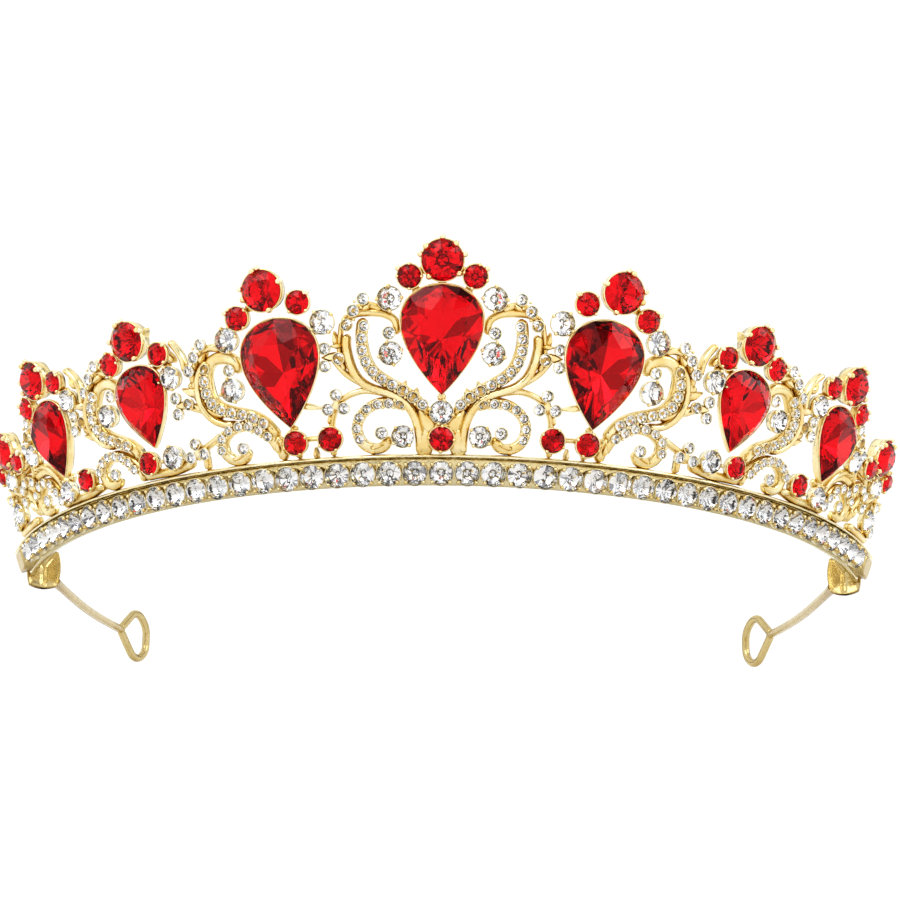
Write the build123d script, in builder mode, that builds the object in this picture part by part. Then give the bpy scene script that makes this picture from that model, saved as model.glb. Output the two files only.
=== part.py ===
from build123d import *
from math import cos, pi, radians, sin
import os

# A tiara: an openwork front on a flared band of small round stones, with a wire arm and eye
# at each end. All sizes are in millimetres and all angles in degrees.
#
# The front lies on a cone that flares outwards. A place on it is given by a station's angle,
# u along the band, t up the cone from the line of band stones, and n out of the cone.
# Stations on the left mirror those on the right.

# Band and cone
BAND_RADIUS = 77.8  # from the tiara's axis to the middle of the band stones
FLARE = 20.0  # outward lean of the band and the whole front
STONE_LINE = 3.27  # height of the band stones' middles above the resting plane
AXIS_Y = 20.85  # puts the origin under the middle of the tiara's outline
BAND_HALF_ANGLE = 76.2
BAND_TOP = 2.3
BAND_BOTTOM = -2.05
STRIP_BACK = -2.9
STRIP_FACE = -2.0
RAIL_TOP = 3.0
RAIL_FACE = -0.5

# Stones and their cups
BAND_STONE = 3.9
BAND_PITCH = 4.15
BAND_STONES_A_SIDE = 22
END_BLOCK_MIDDLE = 72.7  # angle of the plain block past the last band stone
END_BLOCK_LENGTH = 5.2
END_BLOCK_WIDTH = 3.5
END_BLOCK_CORNER = 0.6
END_BLOCK_ROOT = -2.4  # the block starts inside the strip
CUP_WALL = 0.08
CUP_RIM = 0.15
CROWN_SHARE = 0.22  # height of a round stone above its girdle, as a share of its width
PAVILION_SHARE = 0.36  # depth below the girdle, as a share of its width
TABLE_SHARE = 0.55  # width of the flat top, as a share of its width
SEAT_GAP = 0.02
CUP_FLOOR = 0.3
BEAD = 1.0  # ball prong
BEAD_REACH = 0.35  # a ball prong's middle stands this far outside its stone

# Openwork plate
PLATE_BACK = -2.3
PLATE = 1.2
PAVE_LIFT = -0.3  # small stones sit a little lower than large ones

# Pear stones and settings
PEAR_PEAK = 0.7698  # largest value of the pear curve, which makes its width true
PEAR_WALL = 0.35
PEAR_SETTING_BACK = -3.0
PEAR_SETTING_RIM = 0.4
PEAR_FLOOR = 0.6
PEAR_TABLE = 2.3
PEAR_TABLE_SHARE = 0.6
PEAR_CULET_SHARE = 0.3
PEAR_STONE_SIDES = 14
PEAR_SETTING_SIDES = 28

# End tabs, arms and eyes, placed from the tiara's axis
TAB_INNER = 70.0
TAB_OUTER = 75.9
TAB_HEIGHT = 7.2
TAB_THICKNESS = 1.2
TAB_DISH = 0.4
TAB_RIM = 1.0
WIRE = 1.5
ARM_ROUTE = [(69.23, -15.77, 1.7), (67.0, 15.0, 3.85)]
ARM_BEND = 400.0
EYE_MIDDLE = (61.8, 44.6, 6.67)
EYE_TURN = 25.2  # the eye's upright plane turns this much inwards from straight back
EYE_FORK = (-5.2, 0.0)
EYE_CORNERS = [(0.8, 5.45), (4.6, 2.4), (4.6, -2.4), (0.8, -5.45)]
EYE_BEND = 2.6
FORK_BEND = 0.9

# The front's stations. Each has its angle, its pear stone (u, t, width, height, lean), its round
# red and clear stones (u, t, width), rows of small stones (points, count, width), and the
# openwork's strips and raised outer ribs (points, width), with the middle that they are laid
# out about. A prong is a ball at a red stone's edge: the stone's place in its list, and the
# ball's direction in degrees clockwise from straight up.
CENTRE = dict(
    angle=0.0,
    pear=(0.0, 21.0, 13.0, 17.3, 0.0),
    reds=[(0.0, 33.4, 6.6), (-5.2, 30.9, 3.8), (5.2, 30.9, 3.8), (0.0, 5.4, 3.9)],
    clears=[(0.0, 9.6, 3.7)],
    prongs=[(0, 0), (0, 75), (0, -75), (1, -55), (2, 55)],
)
CENTRE_SIDE = dict(
    angle=0.0,
    middle=9.0,
    clears=[(8.35, 27.5, 3.9), (8.1, 18.9, 3.7), (8.4, 22.1, 1.9), (6.1, 5.8, 3.5), (9.5, 6.4, 1.9),
            (16.5, 18.4, 1.8), (18.8, 20.1, 1.8), (18.7, 17.3, 1.8),
            (16.9, 12.7, 1.8), (15.6, 10.5, 1.8), (18.2, 10.5, 1.8)],
    rows=[
        ([(12.4, 23.3), (12.8, 21.3), (12.5, 18.6), (10.9, 16.0), (8.2, 14.2), (5.5, 12.6),
          (3.0, 10.8)], 10, 1.6),
        ([(6.6, 10.8), (9.4, 11.0), (12.4, 9.9), (13.5, 7.4), (13.0, 5.5)], 7, 1.4),
        ([(12.6, 27.6), (14.2, 25.8), (15.2, 23.6)], 3, 1.8),
    ],
    strips=[
        ([(12.7, 24.6), (13.0, 22.2), (12.6, 19.2), (11.3, 16.4), (8.6, 14.3), (5.8, 12.7),
          (3.6, 10.9), (2.0, 8.4)], 2.0),
        ([(5.4, 10.4), (9.0, 11.2), (12.3, 10.0), (13.6, 7.6), (13.0, 5.3), (11.0, 4.0), (9.2, 4.3),
          (8.4, 5.8)], 1.8),
        ([(7.3, 21.8), (7.6, 24.0), (9.4, 25.1), (11.8, 25.4), (14.2, 25.2), (15.8, 24.0)], 1.3),
        ([(9.6, 25.7), (12.0, 26.6), (14.1, 25.9), (15.6, 23.8)], 1.2),
        ([(9.6, 12.7), (12.6, 13.1), (15.2, 12.4), (16.9, 11.4)], 1.1),
        ([(13.0, 14.3), (15.6, 16.0), (17.6, 18.4)], 1.0),
        ([(16.2, 24.2), (16.5, 21.6), (16.5, 19.0), (15.6, 16.4)], 0.9),
        ([(17.2, 10.4), (17.7, 8.6), (17.7, 7.0)], 1.0),
        ([(11.0, 4.4), (11.0, 3.0)], 1.6),
    ],
    ribs=[
        ([(15.3, 22.2), (15.4, 20.6), (15.0, 18.4), (14.0, 15.9), (12.0, 13.9), (9.2, 12.8),
          (6.4, 11.5), (4.5, 9.2), (3.6, 6.4), (3.4, 3.0)], 1.5),
    ],
)
FIRST = dict(
    angle=17.6,
    middle=6.0,
    pear=(0.0, 16.8, 13.0, 17.4, 3.7),
    reds=[(2.2, 30.1, 6.6), (-3.6, 27.7, 3.8), (6.9, 26.2, 3.8), (-1.0, 5.6, 3.8),
          (-6.8, 5.8, 3.8)],
    clears=[(-7.3, 24.3, 3.9), (9.2, 23.0, 3.9), (9.0, 15.0, 3.8), (9.4, 18.2, 1.8),
            (8.2, 5.6, 1.8), (19.9, 15.2, 1.8), (17.5, 13.9, 1.8), (19.7, 12.6, 1.8),
            (17.0, 7.4, 1.8), (15.4, 5.6, 1.8), (18.0, 5.4, 1.8)],
    rows=[
        ([(13.8, 19.0), (14.1, 17.0), (13.8, 14.8), (12.4, 12.7), (9.9, 11.5), (6.8, 10.6),
          (4.2, 9.2)], 9, 1.6),
        ([(3.7, 7.0), (6.7, 8.9), (10.2, 8.8), (12.0, 7.4), (12.1, 5.7)], 7, 1.4),
        ([(14.2, 23.0), (15.7, 21.1), (16.8, 19.1)], 3, 1.8),
    ],
    strips=[
        ([(8.3, 17.6), (8.9, 19.6), (11.0, 20.4), (13.0, 20.0), (14.0, 18.2), (14.0, 16.2),
          (13.5, 14.2), (12.2, 12.6), (9.9, 11.5), (6.8, 10.6), (4.2, 9.0), (2.4, 6.6)], 2.1),
        ([(2.2, 4.4), (3.7, 7.0), (6.7, 8.9), (10.2, 8.8), (12.0, 7.4), (12.1, 5.5),
          (10.6, 4.0), (8.6, 4.0), (7.8, 5.4)], 1.8),
        ([(1.6, 3.0), (1.9, 5.0), (2.6, 7.0)], 1.8),
        ([(-6.8, 5.9), (-1.0, 5.9), (2.0, 5.4)], 0.9),
        ([(-6.8, 5.9), (-6.8, 3.0)], 1.0),
        ([(-1.0, 5.9), (-1.0, 3.0)], 1.0),
        ([(11.5, 11.2), (14.4, 12.4), (16.2, 14.8), (17.4, 17.4)], 1.2),
        ([(13.6, 11.9), (16.4, 12.8), (18.6, 13.8)], 1.0),
        ([(12.4, 8.2), (15.2, 6.8), (17.2, 6.0)], 1.2),
        ([(15.8, 6.0), (15.6, 3.0)], 1.0),
        ([(10.0, 3.8), (10.0, 3.0)], 1.6),
        ([(11.0, 21.8), (13.6, 22.2), (15.4, 20.8), (16.5, 18.8), (16.8, 17.0)], 1.3),
        ([(15.2, 16.0), (17.2, 17.4)], 2.2),
    ],
    ribs=[
        ([(13.4, 20.2), (15.1, 18.5), (15.7, 16.2), (15.4, 13.7), (14.1, 11.5), (12.0, 10.0),
          (9.4, 9.6)], 1.3),
    ],
    prongs=[(0, 5), (0, 80), (0, -70), (1, -50), (2, 60)],
)
SECOND = dict(
    angle=36.0,
    middle=4.0,
    pear=(-0.35, 14.9, 10.2, 13.5, 6.5),
    reds=[(0.6, 25.9, 6.4), (-5.1, 22.8, 3.7), (5.3, 23.0, 3.8), (1.0, 5.8, 3.7)],
    clears=[(-6.5, 18.6, 3.8), (-4.2, 5.9, 3.8), (8.1, 15.0, 3.8), (6.8, 18.0, 1.8),
            (9.2, 5.4, 1.8), (16.8, 16.8, 1.8), (14.9, 15.4, 1.8), (17.1, 14.4, 1.8)],
    rows=[
        ([(11.1, 18.8), (12.2, 16.5), (11.9, 14.1), (10.3, 12.0), (7.6, 10.6), (5.2, 9.4)], 8, 1.6),
        ([(4.6, 5.4), (6.0, 7.1), (8.6, 8.4), (11.4, 8.2), (13.0, 6.6)], 7, 1.4),
        ([(9.4, 23.6), (11.3, 21.8), (12.9, 19.9)], 3, 1.8),
    ],
    strips=[
        ([(5.7, 17.4), (6.2, 19.4), (8.2, 20.3), (10.2, 19.9), (11.5, 18.2), (12.2, 16.3),
          (11.8, 14.0), (10.2, 12.0), (7.6, 10.6), (5.0, 9.2), (3.2, 6.8)], 2.0),
        ([(3.4, 4.0), (4.4, 5.6), (6.2, 7.3), (8.6, 8.4), (11.4, 8.1), (13.0, 6.6), (12.6, 4.8),
          (10.9, 3.9), (9.2, 4.4)], 1.8),
        ([(2.6, 3.2), (2.8, 5.2), (3.4, 7.2)], 1.6),
        ([(-7.2, 4.6), (-3.9, 3.9), (1.0, 3.9), (3.2, 3.9)], 1.6),
        ([(12.2, 16.0), (15.2, 17.2)], 2.2),
        ([(10.8, 12.0), (13.2, 13.2), (15.8, 14.6)], 1.8),
        ([(10.9, 4.2), (10.9, 3.0)], 1.6),
        ([(7.4, 21.8), (9.6, 22.4), (11.6, 21.2), (13.0, 19.4), (13.8, 17.0)], 1.3),
        ([(-6.9, 24.6), (-8.7, 21.8), (-9.0, 19.0)], 1.1),
    ],
    ribs=[
        ([(11.6, 19.6), (13.4, 18.0), (13.9, 15.6), (13.1, 13.0), (11.2, 11.0), (8.8, 9.9)], 1.2),
    ],
    prongs=[(0, 5), (0, 80), (0, -70), (1, -50), (2, 60)],
)
THIRD = dict(
    angle=51.7,
    middle=2.0,
    pear=(0.6, 14.5, 10.0, 13.2, 6.0),
    reds=[(2.6, 25.2, 6.4), (-3.4, 23.4, 3.8), (6.6, 21.3, 3.8), (-5.5, 6.0, 3.8)],
    clears=[(-5.7, 19.6, 3.8), (0.4, 5.3, 3.7), (3.5, 4.6, 1.8), (8.9, 13.6, 3.8), (8.2, 5.6, 1.8)],
    rows=[
        ([(4.6, 6.2), (6.6, 8.2), (9.6, 8.6), (12.0, 7.4)], 5, 1.4),
        ([(12.2, 9.8), (13.8, 10.4), (15.6, 10.4)], 3, 1.5),
        ([(8.6, 19.2), (10.0, 17.2), (11.6, 15.4)], 3, 1.8),
    ],
    ribs=[
        ([(2.4, 7.2), (4.6, 9.8), (7.6, 11.4), (10.8, 11.6)], 1.1),
    ],
    strips=[
        ([(-7.6, 4.4), (-5.5, 3.9), (0.4, 3.8), (4.4, 3.8)], 1.5),
        ([(2.6, 5.6), (4.4, 8.6), (7.4, 10.4), (11.8, 10.2)], 1.7),
        ([(4.0, 4.0), (4.8, 6.2), (6.6, 8.0), (9.6, 8.6), (12.0, 7.4), (12.2, 5.4), (10.6, 4.0),
          (8.4, 4.2)], 1.7),
        ([(7.2, 19.8), (8.7, 18.8), (10.0, 16.8), (11.2, 15.0), (11.4, 12.4), (10.6, 10.6)], 1.3),
        ([(-5.6, 25.0), (-7.8, 22.6), (-8.3, 19.8), (-7.6, 17.6)], 1.1),
        ([(10.4, 4.2), (10.4, 3.0)], 1.6),
    ],
    prongs=[(0, 5), (0, 80), (0, -70), (1, -50), (2, 60)],
)
END = dict(
    angle=65.0,
    middle=1.0,
    reds=[(0.6, 17.4, 6.4), (-3.9, 14.2, 3.7), (5.3, 14.4, 3.7)],
    clears=[(0.8, 12.0, 3.8), (2.2, 6.4, 3.8), (6.4, 5.2, 1.8), (5.2, 9.4, 1.8), (-1.8, 9.6, 1.6),
            (-1.6, 7.4, 1.6)],
    rows=[],
    strips=[
        ([(-5.0, 12.6), (-1.8, 12.4), (0.8, 9.8), (4.2, 11.2), (6.4, 12.8)], 1.8),
        ([(-6.2, 4.4), (-4.0, 6.0), (-2.2, 8.0), (-1.6, 10.6)], 2.0),
        ([(-2.4, 3.9), (2.2, 3.8), (7.6, 3.9)], 1.5),
        ([(5.4, 11.8), (6.3, 8.2), (6.6, 4.4)], 1.6),
        ([(-5.4, 15.8), (-7.0, 13.6), (-6.8, 11.2), (-5.2, 9.6), (-2.4, 9.8)], 1.1),
    ],
    prongs=[(0, 5), (0, 80), (0, -70), (1, -50), (2, 60)],
)
PEAR_STATIONS = {"first": FIRST, "second": SECOND, "third": THIRD}
SIDES = {"right": 1, "left": -1}

os.makedirs("parts", exist_ok=True)


# ---------------------------------------------------------------------------- places

def reach(t, n=0.0):
    """Distance from the tiara's axis to a place on the cone."""
    return BAND_RADIUS + t * sin(radians(FLARE)) + n * cos(radians(FLARE))


def rise(t, n=0.0):
    """Height of a place on the cone above the resting edge."""
    return STONE_LINE + t * cos(radians(FLARE)) - n * sin(radians(FLARE))


def spot(station, side, u, t, n=0.0, lean=0.0):
    """Plane facing out of the cone: x runs along the band, y up the cone, z outwards."""
    turn = side * (radians(station) + u / reach(t))
    flare = radians(FLARE)
    tilt = -side * radians(lean)
    along = Vector(cos(turn), sin(turn), 0)
    outwards = Vector(sin(turn) * cos(flare), -cos(turn) * cos(flare), -sin(flare))
    upwards = outwards.cross(along)
    return Plane(
        origin=(sin(turn) * reach(t, n), AXIS_Y - cos(turn) * reach(t, n), rise(t, n)),
        x_dir=along * cos(tilt) + upwards * sin(tilt),
        z_dir=outwards,
    )


def upright(angle):
    """Plane through the tiara's axis at an angle: x runs away from the axis, y up."""
    turn = radians(angle)
    return Plane(origin=(0, AXIS_Y, 0), x_dir=(sin(turn), -cos(turn), 0),
                 z_dir=(-cos(turn), -sin(turn), 0))


def section_point(t, n):
    """Point of the band's cross-section in an upright plane."""
    return (reach(t, n), rise(t, n))


def keep(piece, name):
    """Name a finished piece and write its file."""
    piece.part.label = name
    export_step(piece.part, f"parts/{name}.step")


def keep_group(solids, name):
    """Write a group of separate solids as one node."""
    export_step(Compound(solids, label=name), f"parts/{name}.step")


# ---------------------------------------------------------------------------- stones and cups

def round_stone(width):
    """Round stone, girdle at z = 0, flat table above and a point below."""
    half = width / 2
    with BuildPart(mode=Mode.PRIVATE) as stone:
        with BuildSketch(Plane.XZ):
            Polygon((0, -PAVILION_SHARE * width), (half, 0), (half * TABLE_SHARE, CROWN_SHARE * width),
                    (0, CROWN_SHARE * width), align=None)
        revolve(axis=Axis.Z)
    return stone.solid()


def round_cup(width):
    """Closed cup under a round stone, open above its girdle."""
    bore = width / 2 + SEAT_GAP
    outside = bore + CUP_WALL
    point = -PAVILION_SHARE * width - SEAT_GAP
    with BuildPart(mode=Mode.PRIVATE) as cup:
        with BuildSketch(Plane.XZ):
            Polygon((0, point - CUP_FLOOR), (outside * 0.6, point - CUP_FLOOR), (outside, -CUP_FLOOR),
                    (outside, CUP_RIM), (bore, CUP_RIM), (bore, 0), (0, point), align=None)
        revolve(axis=Axis.Z)
    return cup.solid()


def prong():
    """Ball that holds a stone's edge."""
    with BuildPart(mode=Mode.PRIVATE) as ball:
        Sphere(BEAD / 2)
    return ball.solid()


def pear_outline(width, height, sides):
    """Points of a pear shape about its middle, with its tip pointing down."""
    turns = [2 * pi * step / sides for step in range(sides)]
    return [(width / 2 * sin(a) * sin(a / 2) / PEAR_PEAK, -height / 2 * cos(a)) for a in turns]


def row_places(points, count):
    """Evenly spaced points along a smooth line."""
    with BuildLine(mode=Mode.PRIVATE) as line:
        Spline(*points)
    row = line.edges()[0]
    return [(row.position_at(k / (count - 1)).X, row.position_at(k / (count - 1)).Y)
            for k in range(count)]


def clear_list(station):
    """Every clear stone of a station as (u, t, width), the rows' small stones included."""
    stones = list(station["clears"])
    for points, count, width in station.get("rows", []):
        stones += [(u, t, width) for u, t in row_places(points, count)]
    return stones


def level(width):
    """How far a stone's girdle stands off the cone: small stones sit lower."""
    return PAVE_LIFT if width < 2.5 else 0.0


def stone_group(placed):
    """Separate round stones at (station, side, u, t, width)."""
    return [spot(station, side, u, t, level(width)) * round_stone(width)
            for station, side, u, t, width in placed]


def cup_group(placed, prongs):
    """Cups under the same stones, with ball prongs at (station, side, u, t)."""
    cups = [spot(station, side, u, t, level(width)) * round_cup(width)
            for station, side, u, t, width in placed]
    balls = [spot(station, side, u, t, CUP_RIM) * prong() for station, side, u, t in prongs]
    return cups + balls


def prong_places(station, side):
    """Ball prongs at the edges of a station's red stones, as (station angle, side, u, t)."""
    places = []
    for index, compass in station.get("prongs", []):
        u, t, width = station["reds"][index]
        out = width / 2 + BEAD_REACH
        places.append((station["angle"], side, u + out * sin(radians(compass)),
                       t + out * cos(radians(compass))))
    return places


# ---------------------------------------------------------------------------- pear stones

def pear_plane(station, side, n):
    u, t, width, height, lean = station["pear"]
    return spot(station["angle"], side, u, t, n, lean)


def pear_stone(station, side):
    """Pear stone: flat table, sloping facets to the girdle and a shallow back."""
    width, height = station["pear"][2:4]
    outline = pear_outline(width, height, PEAR_STONE_SIDES)
    back = PEAR_SETTING_BACK + PEAR_FLOOR + SEAT_GAP
    layers = [(back, PEAR_CULET_SHARE), (0.0, 1.0), (PEAR_SETTING_RIM, 1.0),
              (PEAR_TABLE, PEAR_TABLE_SHARE)]
    with BuildPart() as stone:
        for n, share in layers:
            with BuildSketch(pear_plane(station, side, n)):
                Polygon(*[(side * x * share, y * share) for x, y in outline], align=None)
        loft(ruled=True)
    return stone


def pear_setting(station, side):
    """Shallow pear-shaped tray with an upright wall round the stone."""
    width, height = station["pear"][2:4]
    wall = 2 * (PEAR_WALL + SEAT_GAP)
    outside = pear_outline(width + wall, height + wall, PEAR_SETTING_SIDES)
    inside = pear_outline(width + 2 * SEAT_GAP, height + 2 * SEAT_GAP, PEAR_SETTING_SIDES)
    floor = PEAR_SETTING_BACK + PEAR_FLOOR
    with BuildPart() as setting:
        with BuildSketch(pear_plane(station, side, PEAR_SETTING_BACK)):
            Polygon(*[(side * x, y) for x, y in outside], align=None)
        extrude(amount=PEAR_SETTING_RIM - PEAR_SETTING_BACK)
        with BuildSketch(pear_plane(station, side, floor)):
            Polygon(*[(side * x, y) for x, y in inside], align=None)
        extrude(amount=PEAR_SETTING_RIM - floor, mode=Mode.SUBTRACT)
    return setting


# ---------------------------------------------------------------------------- openwork

def ribbon(points, width):
    """Strip of even width along a smooth line, in the sketch that is open."""
    with BuildLine(mode=Mode.PRIVATE) as path:
        if len(points) > 2:
            Spline(*points)
        else:
            Line(*points)
    trace(path.edges(), width)


def scrollwork(halves, stones, pears):
    """Flat openwork, cut clear of the large cups and the pear settings.

    halves are (station, side) pairs, stones are (station angle, side, u, t, width), and
    pears are (station, side) pairs.
    """
    with BuildPart() as work:
        for station, side in halves:
            angle, middle = station["angle"], station["middle"]
            with BuildSketch(spot(angle, side, middle, 0, PLATE_BACK)):
                for points, width in station["strips"] + station.get("ribs", []):
                    ribbon([(side * reach(t) * sin((u / reach(t) - middle / reach(0))), t)
                            for u, t in points], width)
            extrude(amount=PLATE)
        for angle, side, u, t, width in stones:
            if level(width) == 0.0:
                with Locations(spot(angle, side, u, t)):
                    Cylinder(width / 2 + CUP_WALL + 2 * SEAT_GAP, 4 * PLATE, mode=Mode.SUBTRACT)
        for station, side in pears:
            width, height = station["pear"][2:4]
            wall = 2 * (PEAR_WALL + 2 * SEAT_GAP)
            outline = pear_outline(width + wall, height + wall, PEAR_SETTING_SIDES)
            with BuildSketch(pear_plane(station, side, PEAR_SETTING_BACK)):
                Polygon(*[(side * x, y) for x, y in outline], align=None)
            extrude(amount=4 * PLATE, mode=Mode.SUBTRACT)
    return work


def make_station(name, halves, stations):
    """Write the stones, cups, settings and openwork of one station."""
    reds = [(s["angle"], side, u, t, w) for s, side in stations for u, t, w in s.get("reds", [])]
    clears = [(s["angle"], side, u, t, w) for s, side in stations for u, t, w in clear_list(s)]
    prongs = [place for s, side in stations for place in prong_places(s, side)]
    pears = [(s, side) for s, side in stations if "pear" in s]
    keep_group(stone_group(reds), f"red_stones_{name}")
    keep_group(stone_group(clears), f"clear_stones_{name}")
    keep_group(cup_group(reds + clears, prongs), f"stone_cups_{name}")
    keep(scrollwork(halves, reds + clears, pears), f"scrollwork_{name}")
    for station, side in pears:
        keep(pear_stone(station, side), f"pear_stone_{name}")
        keep(pear_setting(station, side), f"pear_setting_{name}")


make_station("centre", [(CENTRE_SIDE, 1), (CENTRE_SIDE, -1)],
             [(CENTRE, 1), (CENTRE_SIDE, 1), (CENTRE_SIDE, -1)])
for hand, sign in SIDES.items():
    for order, pear_station in PEAR_STATIONS.items():
        make_station(f"{order}_{hand}", [(pear_station, sign)], [(pear_station, sign)])
    make_station(f"end_{hand}", [(END, sign)], [(END, sign)])

# ---------------------------------------------------------------------------- band

with BuildPart() as band_strip:
    with BuildSketch(upright(-BAND_HALF_ANGLE)):
        Polygon(section_point(BAND_BOTTOM, STRIP_BACK), section_point(BAND_BOTTOM, STRIP_FACE),
                section_point(BAND_TOP, STRIP_FACE), section_point(BAND_TOP, STRIP_BACK), align=None)
    revolve(axis=Axis((0, AXIS_Y, 0), (0, 0, 1)), revolution_arc=2 * BAND_HALF_ANGLE)
    for sign in SIDES.values():
        with BuildSketch(spot(END_BLOCK_MIDDLE, sign, 0, 0, END_BLOCK_ROOT)):
            RectangleRounded(END_BLOCK_LENGTH, END_BLOCK_WIDTH, END_BLOCK_CORNER)
        extrude(amount=-END_BLOCK_ROOT)
keep(band_strip, "band_strip")

with BuildPart() as band_rail:
    with BuildSketch(upright(-BAND_HALF_ANGLE)):
        Polygon(section_point(BAND_TOP, STRIP_BACK), section_point(BAND_TOP, RAIL_FACE),
                section_point(RAIL_TOP, RAIL_FACE), section_point(RAIL_TOP, STRIP_BACK), align=None)
    revolve(axis=Axis((0, AXIS_Y, 0), (0, 0, 1)), revolution_arc=2 * BAND_HALF_ANGLE)
keep(band_rail, "band_rail")

band_places = [(0.0, 1, k * BAND_PITCH, 0.0, BAND_STONE)
               for k in range(-BAND_STONES_A_SIDE, BAND_STONES_A_SIDE + 1)]
keep_group(stone_group(band_places), "band_stones")
keep_group(cup_group(band_places, []), "band_cups")


# ---------------------------------------------------------------------------- ends

def mirrored(side, point):
    """Point given from the tiara's axis on the right, moved to its side and the part's frame."""
    x, y, z = point
    return (side * x, y + AXIS_Y, z)


def end_tab(side):
    """Upright plate folded in from the band's end, dished on its front face."""
    length = TAB_OUTER - TAB_INNER
    middle = (TAB_INNER + TAB_OUTER) / 2
    front = 1 if side > 0 else -1
    with BuildPart() as tab:
        with BuildSketch(upright(side * BAND_HALF_ANGLE)):
            with Locations((middle, TAB_HEIGHT / 2)):
                RectangleRounded(length, TAB_HEIGHT, TAB_RIM)
        extrude(amount=-front * TAB_THICKNESS)
        with BuildSketch(upright(side * BAND_HALF_ANGLE)):
            with Locations((middle, TAB_HEIGHT / 2)):
                RectangleRounded(length - 2 * TAB_RIM, TAB_HEIGHT - 2 * TAB_RIM, TAB_RIM / 2)
        extrude(amount=-front * TAB_DISH, mode=Mode.SUBTRACT)
    return tab


def end_loop(side):
    """Arm of round wire that forks into a closed eye."""
    turn = radians(EYE_TURN)
    eye = Plane(origin=mirrored(side, EYE_MIDDLE), x_dir=(-side * sin(turn), cos(turn), 0),
                z_dir=(cos(turn), side * sin(turn), 0))
    fork = eye.from_local_coords((*EYE_FORK, 0))
    route = [mirrored(side, point) for point in ARM_ROUTE] + [fork]
    with BuildPart() as loop:
        with BuildLine():
            arm = FilletPolyline(*route, radius=ARM_BEND)
        with BuildSketch(Plane(origin=arm @ 0, z_dir=arm % 0)):
            Circle(WIRE / 2)
        sweep(path=arm)
        with BuildLine(eye):
            ring = FilletPolyline(EYE_FORK, *EYE_CORNERS, close=True,
                                  radius=[FORK_BEND] + [EYE_BEND] * len(EYE_CORNERS))
        with BuildSketch(Plane(origin=ring @ 0.5, z_dir=ring % 0.5)):
            Circle(WIRE / 2)
        sweep(path=ring)
    return loop


for hand, sign in SIDES.items():
    keep(end_tab(sign), f"end_tab_{hand}")
    keep(end_loop(sign), f"end_loop_{hand}")
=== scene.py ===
from math import cos, pi, radians, sin, sqrt, tan
from random import Random

import bpy
import numpy as np
from mathutils import Matrix, Vector


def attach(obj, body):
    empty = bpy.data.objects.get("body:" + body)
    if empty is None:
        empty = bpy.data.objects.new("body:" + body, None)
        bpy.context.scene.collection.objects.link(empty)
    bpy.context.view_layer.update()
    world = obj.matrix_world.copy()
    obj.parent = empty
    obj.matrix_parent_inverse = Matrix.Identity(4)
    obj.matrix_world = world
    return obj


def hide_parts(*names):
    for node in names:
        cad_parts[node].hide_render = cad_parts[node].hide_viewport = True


# A gilt tiara with faceted red and clear stones, built in detail around its CAD frame.
# Shapes are worked out in millimetres in the frame's own axes and scaled to metres at the end.
# A place on the front is given by a station's angle, u along the band, t up the cone from the
# line of band stones, and n out of the cone. Left pieces mirror right ones.

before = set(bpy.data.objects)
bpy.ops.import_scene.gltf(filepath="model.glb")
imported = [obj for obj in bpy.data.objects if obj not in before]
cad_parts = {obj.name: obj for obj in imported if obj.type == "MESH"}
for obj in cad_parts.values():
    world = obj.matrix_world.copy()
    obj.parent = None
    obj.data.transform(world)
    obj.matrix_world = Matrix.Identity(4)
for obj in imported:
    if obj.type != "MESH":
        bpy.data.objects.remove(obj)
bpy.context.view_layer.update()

MM = 0.001

# ---------------------------------------------------------------------------- driving sizes, mm
BAND_RADIUS = 77.8  # at the line of band stones
FLARE = radians(20.0)
STONE_LINE = 3.27  # height of the line of band stones
AXIS_Y = 20.85
BAND_HALF_ANGLE = 76.2
BAND_TOP = 2.3
BAND_BOTTOM = -2.05
BAND_STEPS = 160
STRIP_BACK = -2.9
STRIP_FACE = -2.0
STRIP_BEVEL = 0.2
STRIP_CROWNING = (0.12, 0.1)  # how far the face stands proud inside its lower and upper edge
RAIL_MIDDLE = 2.65
RAIL_CENTRE = -1.7
RAIL_HALF_HEIGHT = 0.38
RAIL_HALF_DEPTH = 1.25
RAIL_SIDES = 12
BAND_STONE = 3.9
BAND_PITCH = 4.15
BAND_STONES_A_SIDE = 22
END_BLOCK_MIDDLE = 72.7
END_BLOCK_LENGTH = 5.2
END_BLOCK_WIDTH = 3.5
END_BLOCK_LAYERS = [(1.0, STRIP_FACE - 0.3), (1.0, -0.35), (0.94, -0.1), (0.8, 0.0)]  # (share, n)
PLATE_BACK = -2.3
STRIP_TOP = -0.75
RIB_TOP = -0.2
PAVE_LIFT = -0.3
SMALL_STONE = 2.5  # stones under this width are set lower and in plain cups
CUP_OVERLAP = 0.02
CUP_DEPTH = 0.3  # below the stone's point
WALL_SMALL, WALL_CLEAR, WALL_RED = 0.13, 0.1, 0.2
RIM_SMALL, RIM_LARGE = 0.1, 0.06
CLAW = 0.085  # radius of a prong as a share of its stone's width
CLAW_OUT, CLAW_UP, CLAW_STRETCH = 0.06, 0.12, 1.4
CREST_BALL = 0.5
CREST_BALL_OUT, CREST_BALL_UP = 0.35, 0.15
BEAD = 0.26  # radius of the beads between the stones of a row
BEAD_ASIDE = 0.42  # share of a stone's width from the row's line to a bead
BEAD_UP = 0.05
LINK_REACH = 0.95  # stones with a smaller gap than this are joined by a gold link
LINK_WIDTH = 1.5
LINK_TOP = -0.7
LINK_BACK = -1.9
LINK_OVERLAP = 0.16  # share of a stone's half width that a link goes under
LINK_UNDER_PEAR = 0.3
LINE_STEP = 0.35
FINE_STEP = 0.05
PEAR_PEAK = 0.7698  # greatest value of sin(a) sin(a / 2)
PEAR_BACK = -3.0
PEAR_STEPS = 72
PEAR_CROWN = 2.3
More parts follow.
